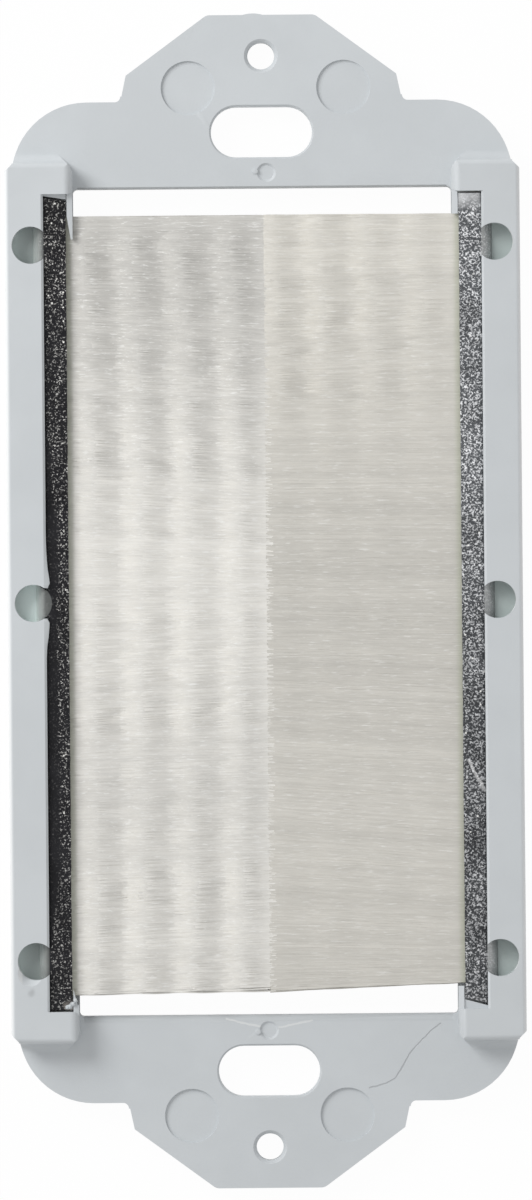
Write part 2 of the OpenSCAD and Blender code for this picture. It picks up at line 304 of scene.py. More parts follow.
def mixed(tree, share, first, second):
    """Colour between first and second."""
    node = tree.nodes.new("ShaderNodeMix")
    node.data_type = "RGBA"
    fill(tree, node.inputs[0], share)
    for i, colour in ((6, first), (7, second)):
        fill(tree, node.inputs[i], colour if isinstance(colour, bpy.types.NodeSocket) else (*colour, 1))
    return node.outputs[2]


def new_group(name, inputs, outputs):
    """A node group with float or vector inputs and outputs, as lists of (name, kind, default)."""
    group = bpy.data.node_groups.new(name, "ShaderNodeTree")
    for label, kind, default in inputs:
        socket = group.interface.new_socket(label, in_out="INPUT", socket_type=kind)
        if default is not None:
            socket.default_value = default
    for label, kind in outputs:
        group.interface.new_socket(label, in_out="OUTPUT", socket_type=kind)
    return group, group.nodes.new("NodeGroupInput"), group.nodes.new("NodeGroupOutput")


def use_group(tree, name, **sockets):
    """Places a node group and sets or links its inputs."""
    node = tree.nodes.new("ShaderNodeGroup")
    node.node_tree = bpy.data.node_groups[name]
    for label, value in sockets.items():
        fill(tree, node.inputs[label.replace("_", " ")], value)
    return node


def build_grain_group():
    """Fine unevenness that every material has: a value about 0.5 and a height."""
    group, start, end = new_group(
        "Fine grain",
        [
            ("Vector", "NodeSocketVector", None),
            ("Scale", "NodeSocketFloat", 4000.0),
            ("Amount", "NodeSocketFloat", 1.0),
        ],
        [("Value", "NodeSocketFloat"), ("Height", "NodeSocketFloat")],
    )
    place, scale = start.outputs["Vector"], start.outputs["Scale"]
    noise = add(group, "ShaderNodeTexNoise", Vector=place, Scale=scale, Detail=3.0, Roughness=0.6)
    value = noise.outputs["Fac"]
    group.links.new(value, end.inputs["Value"])
    height = maths(group, "MULTIPLY", maths(group, "SUBTRACT", value, 0.5), start.outputs["Amount"])
    group.links.new(height, end.inputs["Height"])


def build_spangle_group():
    """Irregular grains of hot-dipped zinc, their brightness partly painted reflection of their facets: the grains'
    mask, a few painted glints and their height.
    """
    group, start, end = new_group(
        "Zinc spangle",
        [
            ("Vector", "NodeSocketVector", None),
            ("Grain Scale", "NodeSocketFloat", 5000.0),
            ("Share", "NodeSocketFloat", 0.5),
        ],
        [("Grains", "NodeSocketFloat"), ("Glints", "NodeSocketFloat"), ("Height", "NodeSocketFloat")],
    )
    place, scale = start.outputs["Vector"], start.outputs["Grain Scale"]
    noise = add(group, "ShaderNodeTexNoise", Vector=place, Scale=scale, Detail=2.0, Roughness=0.7, Distortion=0.4)
    level = maths(group, "SUBTRACT", 0.62, maths(group, "MULTIPLY", start.outputs["Share"], 0.12))
    above = maths(group, "SUBTRACT", noise.outputs["Fac"], level)
    edged = maths(group, "MULTIPLY", above, 11.0, clamp=True)
    cells = add(group, "ShaderNodeTexVoronoi", Vector=place, Scale=maths(group, "MULTIPLY", scale, 0.55))
    pick = add(group, "ShaderNodeSeparateColor", Color=cells.outputs["Color"]).outputs[0]
    grains = maths(group, "MULTIPLY", edged, ramped(group, pick, 0.0, 0.8, 0.55, 1.0, smooth=False))
    at_middle = ramped(group, cells.outputs["Distance"], 0.12, 0.3, 1.0, 0.0)
    glints = maths(group, "MULTIPLY", ramped(group, pick, 0.94, 0.96), at_middle)
    height = maths(group, "ADD", noise.outputs["Fac"], maths(group, "MULTIPLY", pick, 0.5))
    for name, value in (("Grains", grains), ("Glints", glints), ("Height", height)):
        group.links.new(value, end.inputs[name])


def build_line_group():
    """Distance to a straight line between two points, seen from above."""
    group, start, end = new_group(
        "Line distance",
        [("Vector", "NodeSocketVector", None), ("Start", "NodeSocketVector", None), ("End", "NodeSocketVector", None)],
        [("Distance", "NodeSocketFloat")],
    )
    flat = vector_maths(group, "MULTIPLY", start.outputs["Vector"], (1, 1, 0))
    out = vector_maths(group, "SUBTRACT", flat, start.outputs["Start"])
    course = vector_maths(group, "SUBTRACT", start.outputs["End"], start.outputs["Start"])
    share = maths(
        group,
        "DIVIDE",
        vector_maths(group, "DOT_PRODUCT", out, course, result="Value"),
        vector_maths(group, "DOT_PRODUCT", course, course, result="Value"),
        clamp=True,
    )
    reached = group.nodes.new("ShaderNodeVectorMath")
    reached.operation = "SCALE"
    fill(group, reached.inputs[0], course)
    fill(group, reached.inputs["Scale"], share)
    off = vector_maths(group, "SUBTRACT", out, reached.outputs[0])
    group.links.new(vector_maths(group, "LENGTH", off, result="Value"), end.inputs["Distance"])


def build_recess_group():
    """Distance from the axis of the nearest round recess of either rail."""
    group, start, end = new_group(
        "Recess distance", [("Vector", "NodeSocketVector", None)], [("Distance", "NodeSocketFloat")]
    )
    split = add(group, "ShaderNodeSeparateXYZ", Vector=start.outputs["Vector"])
    across = maths(group, "SUBTRACT", maths(group, "ABSOLUTE", split.outputs["X"]), RECESS_X)
    along = maths(group, "ABSOLUTE", split.outputs["Y"])
    outer = maths(group, "ABSOLUTE", maths(group, "SUBTRACT", along, RECESS_PITCH))
    near = maths(group, "MINIMUM", along, outer)
    square = maths(group, "ADD", maths(group, "MULTIPLY", across, across), maths(group, "MULTIPLY", near, near))
    group.links.new(maths(group, "SQRT", square), end.inputs["Distance"])


def build_soft_group():
    """Normals that turn less across the fibres than their shape does, as light passes through clear ones."""
    group, start, end = new_group("Soft across", [("Share", "NodeSocketFloat", 0.3)], [("Normal", "NodeSocketVector")])
    own = group.nodes.new("ShaderNodeNewGeometry").outputs["Normal"]
    scale = add(group, "ShaderNodeCombineXYZ", X=1.5, Y=start.outputs["Share"], Z=1.0)
    flat = vector_maths(group, "MULTIPLY", own, scale.outputs["Vector"])
    group.links.new(vector_maths(group, "NORMALIZE", flat), end.inputs["Normal"])


def vector_maths(tree, operation, *values, result="Vector"):
    """A Vector Math node on sockets or vectors."""
    node = tree.nodes.new("ShaderNodeVectorMath")
    node.operation = operation
    for i, value in enumerate(values):
        fill(tree, node.inputs[i], value)
    return node.outputs[result]


def near_lines(tree, place, points, width, closed=False):
    """1 on the course through points, fading out over its width. Unless closed, every second stretch is left out."""
    shown = None
    for i in range(0, len(points) - 1, 1 if closed else 2):
        ends = [(x * MM, y * MM, 0) for x, y in points[i : i + 2]]
        off = use_group(tree, "Line distance", Vector=place, Start=ends[0], End=ends[1]).outputs["Distance"]
        line = ramped(tree, off, 0.35 * width, width, 1.0, 0.0)
        shown = line if shown is None else maths(tree, "MAXIMUM", shown, line)
    return shown


def wobbly(tree, place, scale, amount):
    """The place moved about a little by noise."""
    noise = add(tree, "ShaderNodeTexNoise", Vector=place, Scale=scale, Detail=2.0)
    turned = vector_maths(tree, "SUBTRACT", noise.outputs["Color"], (0.5, 0.5, 0.5))
    return vector_maths(tree, "ADD", place, vector_maths(tree, "MULTIPLY", turned, (amount, amount, amount)))


def near_point(tree, place, x, y, low, high):
    """1 within low of a point in millimetres seen from above, and 0 past high."""
    flat = vector_maths(tree, "MULTIPLY", place, (1, 1, 0))
    off = vector_maths(tree, "DISTANCE", flat, (x * MM, y * MM, 0), result="Value")
    return ramped(tree, off, low * MM, high * MM, 1.0, 0.0)


def bumped(tree, shader, height, distance, normal=None):
    """Feeds a height, at most distance deep, to a shader's normal."""
    bump = add(tree, "ShaderNodeBump", Height=height, Distance=distance, Strength=1.0)
    if normal is not None:
        tree.links.new(normal, bump.inputs["Normal"])
    tree.links.new(bump.outputs["Normal"], shader.inputs["Normal"])


def pits(tree, place):
    """1 on the few small pits of the mould."""
    cells = add(tree, "ShaderNodeTexVoronoi", Vector=place, Scale=420.0)
    chance = add(tree, "ShaderNodeSeparateColor", Color=cells.outputs["Color"]).outputs[1]
    spot = ramped(tree, cells.outputs["Distance"], 0.02, 0.05, 1.0, 0.0)
    return maths(tree, "MULTIPLY", ramped(tree, chance, 0.93, 0.95), spot)


def painted_recess_light(tree, split, glow):
    """Painted light and shade inside the round recesses: light let through the plastic, painted shade towards the
    channel in the outer two on the left, painted light towards it in the left middle one, and painted shade over the
    right ones.
    """
    inward = ramped(tree, split.outputs["X"], -22.4 * MM, -20.5 * MM)
    outer_pair = mixed(tree, inward, glow * 0.86, glow * 0.54)
    middle_one = mixed(tree, inward, glow * 0.84, glow * 1.2)
    at_middle = ramped(tree, maths(tree, "ABSOLUTE", split.outputs["Y"]), *MIDDLE_RECESS, 1.0, 0.0)
    left_glow = mixed(tree, at_middle, outer_pair, middle_one)
    return mixed(tree, ramped(tree, split.outputs["X"], -0.01, 0.01), left_glow, glow * 0.66)


def painted_side_light(tree, split):
    """Painted light on the rails' outer sides, paler the more they turn away, where light from the white surroundings
    falls on them.
    """
    normal = tree.nodes.new("ShaderNodeNewGeometry").outputs["Normal"]
    facing = add(tree, "ShaderNodeSeparateXYZ", Vector=normal).outputs["X"]
    turned = ramped(tree, maths(tree, "ABSOLUTE", facing), 0.15, 0.85, 0.0, 0.75)
    outermost = ramped(tree, maths(tree, "ABSOLUTE", split.outputs["X"]), 21.7 * MM, 21.9 * MM)
    return maths(tree, "MULTIPLY", turned, outermost)


def plastic_material(settings):
    """Satin plastic with the mould's grain, pits and crack, with painted shade in the pits, the crack and a pit below
    the lower left recess, painted light and shade in the recesses, painted light on the rails' outer sides and lines of
    painted highlight.
    """
    tree, shader = new_material("frame_plastic")
    place = tree.nodes.new("ShaderNodeTexCoord").outputs["Object"]
    split = add(tree, "ShaderNodeSeparateXYZ", Vector=place)
    grain = use_group(tree, "Fine grain", Vector=place, Scale=5200.0)
    cloud = use_group(tree, "Fine grain", Vector=place, Scale=110.0)
    base = Vector(settings.colour)
    coloured = mixed(tree, ramped(tree, cloud.outputs["Value"], 0.35, 0.65), base * 0.975, base * 1.02)
    pitted = pits(tree, place)
    # The pits are sunk a little by the bump and painted darker: painted shade in them
    coloured = mixed(tree, maths(tree, "MULTIPLY", pitted, 0.35), coloured, base * 0.55)

    # Inside the round recesses the colour is painted light and shade
    off = use_group(tree, "Recess distance", Vector=place).outputs["Distance"]
    below_top = ramped(tree, split.outputs["Z"], 4.5 * MM, 4.9 * MM, 1.0, 0.0)
    inside = maths(tree, "MULTIPLY", ramped(tree, off, *RECESS_EDGE, 1.0, 0.0), below_top)
    coloured = mixed(tree, inside, coloured, painted_recess_light(tree, split, Vector(settings.recess_light_and_shade_colour)))
    # Painted light on the rails' outer sides
    coloured = mixed(tree, painted_side_light(tree, split), coloured, (0.93, 0.94, 0.94))

    # The crack is sunk a little by the bump and painted darker: painted shade in it
    crack_and_shade = near_lines(tree, wobbly(tree, place, 1500.0, 0.25 * MM), EAR_CRACK, 0.09 * MM, closed=True)
    # Pale lines of painted highlight along the chamfer below the lower window edge
    pale = near_lines(tree, wobbly(tree, place, 1200.0, 0.3 * MM), EDGE_HIGHLIGHT_LINES, 0.12 * MM)
    # A dark spot below the lower left recess: painted shade of a small pit
    pit_shade = near_point(tree, wobbly(tree, place, 900.0, 0.5 * MM), -21.0, -34.5, 0.05, 0.5)
    for flaw, share, colour in ((crack_and_shade, 0.45, base * 0.4), (pale, 0.5, (0.86, 0.87, 0.86)), (pit_shade, 0.45, base * 0.5)):
        coloured = mixed(tree, maths(tree, "MULTIPLY", flaw, share), coloured, colour)
    tree.links.new(coloured, shader.inputs["Base Color"])
    tree.links.new(ramped(tree, grain.outputs["Value"], 0.3, 0.7, 0.42, 0.55), shader.inputs["Roughness"])
    sunk = maths(tree, "SUBTRACT", grain.outputs["Height"], maths(tree, "MULTIPLY", pitted, 0.6))
    sunk = maths(tree, "SUBTRACT", sunk, maths(tree, "MULTIPLY", crack_and_shade, 2.0))
    bumped(tree, shader, sunk, settings.grain_depth)


def channel_face(tree):
    """What the marks and painted light of a channel follow: places, patches and the distance from the nearest recess.
    """
    place = tree.nodes.new("ShaderNodeTexCoord").outputs["Object"]
    split = add(tree, "ShaderNodeSeparateXYZ", Vector=place)
    patches = use_group(tree, "Fine grain", Vector=place, Scale=260.0)
    return {
        "place": place,
        "along": split.outputs["Y"],
        "across": maths(tree, "ABSOLUTE", split.outputs["X"]),
        "patches": patches.outputs["Value"],
        "unevenness": patches.outputs["Height"],
        "off": use_group(tree, "Recess distance", Vector=place).outputs["Distance"],
    }


def zinc_material(name, ground, grain_colour, share, grain_size, back_colour_and_highlight, wear_and_light):
    """The sprayed face of a channel. Its back, which shows in the recesses, has fewer grains, less metal and a paler
    colour that is partly painted highlight.
    """
    tree, shader = new_material(name)
    face = channel_face(tree)
    spangle = use_group(tree, "Zinc spangle", Vector=face["place"], Grain_Scale=1 / grain_size, Share=share)
    patchy = ramped(tree, face["patches"], 0.3, 0.6, 0.65, 1.0)
    shown = maths(tree, "MULTIPLY", spangle.outputs["Grains"], patchy)
    body = mixed(tree, ramped(tree, face["patches"], 0.3, 0.7), Vector(ground) * 0.75, Vector(ground) * 1.3)
    on_back = ramped(tree, face["across"], LIP_X - 0.05 * MM, LIP_X + 0.05 * MM)
    back_and_highlight = maths(tree, "MULTIPLY", on_back, ramped(tree, face["off"], *RECESS_EDGE, 1.0, 0.0))
    shown, glints, body, back_and_highlight, back_colour_and_highlight = wear_and_light(
        tree, face, shown, spangle.outputs["Glints"], body, back_and_highlight, back_colour_and_highlight
    )
    # The back's colour is partly a painted highlight on its round surface
    patchy_back = maths(tree, "MULTIPLY", back_and_highlight, ramped(tree, face["patches"], 0.25, 0.6, 0.7, 1.0))
    body = mixed(tree, patchy_back, body, back_colour_and_highlight)
    left_on = maths(tree, "SUBTRACT", 1.0, maths(tree, "MULTIPLY", back_and_highlight, 0.6))
    with_grains = mixed(tree, maths(tree, "MULTIPLY", shown, left_on), body, grain_colour)
    bare = maths(tree, "MAXIMUM", shown, back_and_highlight)
    # The glints are painted highlights, and the grains' colour is partly painted reflection
    tree.links.new(mixed(tree, glints, with_grains, (0.95, 0.94, 0.9)), shader.inputs["Base Color"])
    tree.links.new(ramped(tree, bare, 0.0, 1.0, 0.8, 0.45), shader.inputs["Metallic"])
    tree.links.new(ramped(tree, shown, 0.0, 1.0, 0.32, 0.5), shader.inputs["Roughness"])
    bumped(tree, shader, spangle.outputs["Height"], 0.03 * MM)


def shaded_zinc_wear_and_light(tree, face, shown, glints, body, back_and_highlight, back_colour_and_highlight):
    """The left channel: no grains along the lip, dull at its lower corner and bare in the whole middle recess. Its back
    runs from painted shade at the lip to a painted highlight by the recess wall.
    """
    # No grains or glints in a smooth strip along the lip
    clear = maths(tree, "SUBTRACT", 1.0, grainless_lip_strip(tree, face))
    shown = maths(tree, "MULTIPLY", shown, clear)
    shown = maths(tree, "MULTIPLY", shown, ramped(tree, face["along"], -26 * MM, -10 * MM, 0.75, 1.0))
    glints = maths(tree, "MULTIPLY", glints, clear)
    corner = near_point(tree, wobbly(tree, face["place"], 1500.0, 0.4 * MM), -17.55, -35.5, 0.45, 0.85)
    dull = maths(tree, "MULTIPLY", corner, ramped(tree, face["along"], -36.2 * MM, -35.0 * MM, 1.0, 0.0))
    body = mixed(tree, dull, body, (0.33, 0.30, 0.27))
    near_middle = ramped(tree, maths(tree, "ABSOLUTE", face["along"]), *MIDDLE_RECESS, 1.0, 0.0)
    middle = maths(tree, "MULTIPLY", ramped(tree, face["off"], 1.6 * MM, 1.68 * MM, 1.0, 0.0), near_middle)
    back_and_highlight = maths(tree, "MAXIMUM", back_and_highlight, middle)
    # Painted highlight on the round back by the recess wall, fading to painted shade at the lip
    back_base = Vector(back_colour_and_highlight)
    back_colour_and_highlight = mixed(tree, ramped(tree, face["across"], LIP_X, 20.5 * MM), back_base * 0.3, back_base * 2.5)
    return shown, glints, body, back_and_highlight, back_colour_and_highlight


def lit_zinc_wear_and_light(tree, face, shown, glints, body, back_and_highlight, back_colour_and_highlight):
    """The right channel: darker and scratched towards its lower end. Its cut ends lose grains and pale, the lower one
    to grey, the upper one, which faces the light, to a painted highlight.
    """
    along = face["along"]
    shown = maths(tree, "MULTIPLY", shown, ramped(tree, along, -14 * MM, 14 * MM, 0.62, 1.0))
    lower = ramped(tree, along, -14 * MM, 14 * MM, 0.5, 1.0)
    shade = add(tree, "ShaderNodeCombineXYZ", X=lower, Y=lower, Z=lower).outputs[0]
    body = vector_maths(tree, "MULTIPLY", body, shade)
    course = wobbly(tree, face["place"], 1500.0, 0.3 * MM)
    scratch = near_lines(tree, course, CHANNEL_SCRATCH, 0.2 * MM, closed=True)
    body = mixed(tree, maths(tree, "MULTIPLY", scratch, 0.75), body, (0.5, 0.5, 0.5))
    frayed = maths(tree, "ADD", along, maths(tree, "MULTIPLY", face["unevenness"], 3 * MM))
    upper_end = ramped(tree, frayed, 34.2 * MM, 35.9 * MM, 0.0, 0.8)
    slant = maths(tree, "MULTIPLY", maths(tree, "SUBTRACT", face["across"], LIP_X), 0.34)
    lower_end = ramped(tree, maths(tree, "ADD", frayed, slant), -35.9 * MM, -35.3 * MM, 0.8, 0.0)
    ends = maths(tree, "MAXIMUM", upper_end, lower_end)
    shown = maths(tree, "MULTIPLY", shown, maths(tree, "SUBTRACT", 1.0, maths(tree, "MULTIPLY", ends, 0.7)))
    # The upper cut end's pale colour is a painted highlight
    end_grey_and_highlight = mixed(tree, ramped(tree, along, -1.0 * MM, 1.0 * MM), (0.2, 0.2, 0.2), (0.72, 0.73, 0.74))
    body = mixed(tree, ends, body, end_grey_and_highlight)
    return shown, glints, body, back_and_highlight, back_colour_and_highlight


def grainless_lip_strip(tree, face):
    """The dark smooth strip along the lip, widest beside the middle recess."""
    edge = maths(tree, "ADD", face["across"], maths(tree, "MULTIPLY", face["unevenness"], 1.2 * MM))
    from_top = ramped(tree, face["along"], 6 * MM, 17 * MM, 1.0, 0.0)
    reach = maths(tree, "MULTIPLY", from_top, ramped(tree, face["along"], -31 * MM, -24 * MM))
    border = maths(tree, "SUBTRACT", 19.3 * MM, maths(tree, "MULTIPLY", reach, 0.9 * MM))
    return ramped(tree, maths(tree, "SUBTRACT", edge, border), -0.15 * MM, 0.15 * MM, 0.0, 0.92)


def wire_material():
    """Drawn steel with fine lines along it."""
    tree, shader = new_material("drawn_wire")
    place = tree.nodes.new("ShaderNodeTexCoord").outputs["Object"]
    drawn = add(tree, "ShaderNodeMapping", Vector=place, Scale=(1.0, 0.04, 1.0))
    lines = use_group(tree, "Fine grain", Vector=drawn.outputs["Vector"], Scale=9000.0)
    bright = ramped(tree, lines.outputs["Value"], 0.3, 0.7)
    tree.links.new(mixed(tree, bright, (0.16, 0.16, 0.165), (0.3, 0.3, 0.31)), shader.inputs["Base Color"])
    shader.inputs["Metallic"].default_value = 0.9
    tree.links.new(ramped(tree, lines.outputs["Value"], 0.3, 0.7, 0.3, 0.48), shader.inputs["Roughness"])
    bumped(tree, shader, lines.outputs["Height"], 0.01 * MM)


def nylon_material(name, colour, relief, painted_glint_dashes):
    """Clear nylon seen over more of itself, with pale dashes of painted glints and painted shade over the roots. Each
    fibre's tone comes from its attribute.
    """
    tree, shader = new_material(name)
    place = tree.nodes.new("ShaderNodeTexCoord").outputs["Object"]
    tone = tree.nodes.new("ShaderNodeAttribute")
    tone.attribute_name = "tone"
    drawn = add(tree, "ShaderNodeMapping", Vector=place, Scale=(0.12, 1.0, 1.0))
    lines = use_group(tree, "Fine grain", Vector=drawn.outputs["Vector"], Scale=7000.0)
    wide = add(tree, "ShaderNodeMapping", Vector=place, Scale=(0.2, 1.0, 1.0))
    strands = use_group(tree, "Fine grain", Vector=wide.outputs["Vector"], Scale=1500.0)
    uneven = maths(tree, "MULTIPLY", strands.outputs["Height"], 0.35)
    shade = maths(tree, "ADD", tone.outputs["Fac"], uneven, clamp=True)
    own = mixed(tree, shade, colour * 0.74, colour * 1.12)
    # Pale dashes: painted glints on the crimped fibres
    with_painted_glints = mixed(tree, ramped(tree, lines.outputs["Value"], 0.56, 0.7, 0.0, painted_glint_dashes), own, (0.97, 0.97, 0.95))
    split = add(tree, "ShaderNodeSeparateXYZ", Vector=place)
    # Painted shade over the roots, where the channel's lip shades them
    root = ramped(tree, maths(tree, "ABSOLUTE", split.outputs["X"]), 16.7 * MM, 17.3 * MM, 0.0, 0.6)
    tree.links.new(mixed(tree, root, with_painted_glints, (0.52, 0.54, 0.42)), shader.inputs["Base Color"])
    tree.links.new(ramped(tree, lines.outputs["Value"], 0.3, 0.7, 0.26, 0.4), shader.inputs["Roughness"])
    soft = use_group(tree, "Soft across", Share=0.12)
    bumped(tree, shader, lines.outputs["Height"], relief, normal=soft.outputs["Normal"])


# Frame


def is_mark_edge(edge):
    """True for the edges of the ejector marks, the dimples and the gate mark, in millimetres."""
    middle = (edge.verts[0].co + edge.verts[1].co) / 2
    across, along = abs(middle.x - (0.4 if middle.y > 0 else 0)), abs(middle.y)
    on_ejector = math.hypot(across - 6.9, along - 45.6) < 2.6
    on_dimple = math.hypot(across, along - 38.06) < 1.35
    on_gate = middle.y > 52.0 or (abs(middle.x + 0.7) < 1.0 and middle.y > 51.9)
    return on_ejector or on_dimple or on_gate


def rounded(bm, edges, radius):
    """Rounds the given edges."""
    bmesh.ops.bevel(
        bm,
        geom=edges,
        offset=radius,
        offset_type="OFFSET",
        affect="EDGES",
        segments=2,
        profile=0.5,
        material=-1,
        clamp_overlap=True,
    )


def trim_feet(bm):
    """Brings the outer ends of the blocks' feet in to the curved side of the ear, in millimetres."""
    side, start, radius = 22.2, 37.75, 6.65
    for vert in bm.verts:
        along = abs(vert.co.y)
        if 39.02 < along < 40.0 and vert.co.z > 2.15:
            limit = side - radius + math.sqrt(radius**2 - (along - start) ** 2)
            vert.co.x = max(-limit, min(limit, vert.co.x))
    bmesh.ops.remove_doubles(bm, verts=bm.verts, dist=0.015)
    bmesh.ops.dissolve_degenerate(bm, dist=0.005, edges=bm.edges)


def shorten_nibs(bm):
    """Gives each nib its own length over the bristles' roots and thins its end, in millimetres."""
    lengths = {(-1, 1): (3.9, 1.9), (1, 1): (1.9, 1.2), (-1, -1): (0.5, 0.3), (1, -1): (1.9, 1.2)}
    for vert in bm.verts:
        along, across = abs(vert.co.y), abs(vert.co.x)
        if not (16.7 < across < 17.3 and 31.5 < along < 34.6 and vert.co.z > 3.0):
            continue
        corner = (math.copysign(1, vert.co.x), math.copysign(1, vert.co.y))
        tip, bend = lengths[corner]
        vert.co.y = math.copysign(36.1 - (tip if along < 33 else bend), vert.co.y)
        if along < 33:
            vert.co.z -= 0.25 if vert.co.z > 4.3 else 0


def close_recesses(bm):
    """Brings the floors of the round recesses up to the channels' backs, in millimetres."""
    for vert in bm.verts:
        across = abs(vert.co.x)
        if 20.2 < across < 20.9 and 3.0 < vert.co.z < 3.2:
            vert.co.x -= math.copysign(0.13 if vert.co.x < 0 else 0.07, vert.co.x)


def bulge_lip(bm):
    """Bends the left lip out beside the middle recess, where the channel was pressed in, in millimetres."""
    for place in (1.75, 2.3, 3.0, 3.8, 4.8, 6.0):
        for side in (-1, 1):
            bmesh.ops.bisect_plane(
                bm,
                geom=bm.verts[:] + bm.edges[:] + bm.faces[:],
                plane_co=(0, side * place, 0),
                plane_no=(0, 1, 0),
            )
    for vert in bm.verts:
        along = abs(vert.co.y)
        if -19.6 < vert.co.x < -19.0 and vert.co.z > 4.0 and 1.2 < along < 5.0:
            vert.co.x += 0.3 * math.exp(-(((along - 1.5) / 1.9) ** 2)) + 0.03 * math.sin(vert.co.y * 4)


def add_burr(bm):
    """Leaves the ragged curl of plastic at the lower left block's corner, in millimetres."""
    draw = random.Random(SEED + 9)
    for x, y, size in ((-17.85, -35.8, 0.2), (-17.6, -35.72, 0.24), (-17.35, -35.5, 0.24), (-17.15, -35.2, 0.2)):
        blob = bmesh.ops.create_icosphere(bm, subdivisions=2, radius=size)["verts"]
        for vert in blob:
            vert.co *= draw.uniform(0.75, 1.2)
        bmesh.ops.translate(bm, vec=(x, y, 4.3), verts=blob)


def edge_angle(edge):
    """Angle between an edge's two faces."""
    return edge.calc_face_angle(0.0)


class BRUSH_OT_moulded_frame(bpy.types.Operator):
    """Rounds the edges of the moulded frame and gives it its satin plastic"""

    bl_idname = "brush_insert.moulded_frame"
    bl_label = "Moulded frame"

    def execute(self, context):
        settings = context.scene.brush_moulding
        bm = merged_copy("frame")
        trim_feet(bm)
        shorten_nibs(bm)
        close_recesses(bm)
        bulge_lip(bm)
        sharp = [e for e in bm.edges if len(e.link_faces) == 2 and edge_angle(e) > math.radians(25)]
        marks = [e for e in sharp if is_mark_edge(e)]
        others = [e for e in sharp if not is_mark_edge(e)]
        rounded(bm, marks, settings.mark_radius / MM)
        others = [e for e in others if e.is_valid]
        rounded(bm, others, settings.edge_radius / MM)
        add_burr(bm)
        bmesh.ops.scale(bm, vec=(MM, MM, MM), verts=bm.verts)
        piece = finished_piece(
            "moulded_frame", bm, bpy.data.materials["frame_plastic"], ["frame"]
        )
        weighted = piece.modifiers.new("flat faces stay flat", "WEIGHTED_NORMAL")
        weighted.keep_sharp = True
        weighted.weight = 100
        return {"FINISHED"}


# Channels


def worn_channel(node, side, settings, seed):
    """Cuts a copy of a channel into short lengths and bends them a little out of true."""
    draw = random.Random(seed)
    bm = merged_copy(node)
    low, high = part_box(node)
    first, last = low.y / MM + 0.5, high.y / MM - 0.5
    steps = int((last - first) / 0.6)
    for i in range(steps + 1):
        bmesh.ops.bisect_plane(
            bm,
            geom=bm.verts[:] + bm.edges[:] + bm.faces[:],
            plane_co=(0, first + (last - first) * i / steps, 0),
            plane_no=(0, 1, 0),
        )
    mouth = MOUTH_X / MM
    shifts = {}
    axis = (CHANNEL_BACK_X - (CHANNEL_TOP_Z - CHANNEL_FLOOR_Z) / 2) / MM
    for vert in bm.verts:
        past, over = abs(vert.co.x) - axis, vert.co.z - AXIS_Z / MM
        if past > 0.1:
            fuller = 1 + 0.1 * math.sin(2 * math.atan2(over, past)) ** 2
            vert.co.x, vert.co.z = side * (axis + past * fuller), AXIS_Z / MM + over * fuller
        station = round(vert.co.y, 1)
        if station not in shifts:
            shifts[station] = (draw.uniform(-1, 1), draw.uniform(-1, 1), draw.uniform(-1, 1))
        nick, lift, end = shifts[station]
        near_mouth = max(0.0, 1 - (abs(vert.co.x) - mouth) / 0.4)
        upper = vert.co.z > AXIS_Z / MM
        vert.co.x += side * near_mouth * settings.dent / MM * max(0, nick) * (1 if upper else 0.3)
        vert.co.z -= settings.dent / MM * 0.6 * abs(lift) * (1 if upper else -0.2)
        if abs(vert.co.y) > last - 0.1:
            vert.co.y += math.copysign(0.06 - 0.05 * abs(end) - 0.04 * draw.random(), vert.co.y)
    bmesh.ops.scale(bm, vec=(MM, MM, MM), verts=bm.verts)
    return bm


class BRUSH_OT_channels(bpy.types.Operator):
    """Builds the two folded zinc channels with their cut ends"""

    bl_idname = "brush_insert.channels"
    bl_label = "Channels"

    def execute(self, context):
        settings = context.scene.brush_channels
        for node, side, slot, finish, seed in (
            # One zinc on both: the left finish is its painted shaded copy, the right one its painted lit copy
            ("left_channel", -1, "dark_zinc", "shaded_zinc_spangle", SEED + 1),
            ("right_channel", 1, "light_zinc", "lit_zinc_spangle", SEED + 2),
        ):
            bm = worn_channel(node, side, settings, seed)
            finished_piece(node + "_steel", bm, bpy.data.materials[finish], [node])
        return {"FINISHED"}


class BRUSH_OT_core_wires(bpy.types.Operator):
    """Gives the two core wires their drawn steel"""

    bl_idname = "brush_insert.core_wires"
    bl_label = "Core wires"

    def execute(self, context):
        for node in ("left_core_wire", "right_core_wire"):
            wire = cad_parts[node]
            wire.data.materials.clear()
            wire.data.materials.append(bpy.data.materials["drawn_wire"])
        return {"FINISHED"}


# Bristles


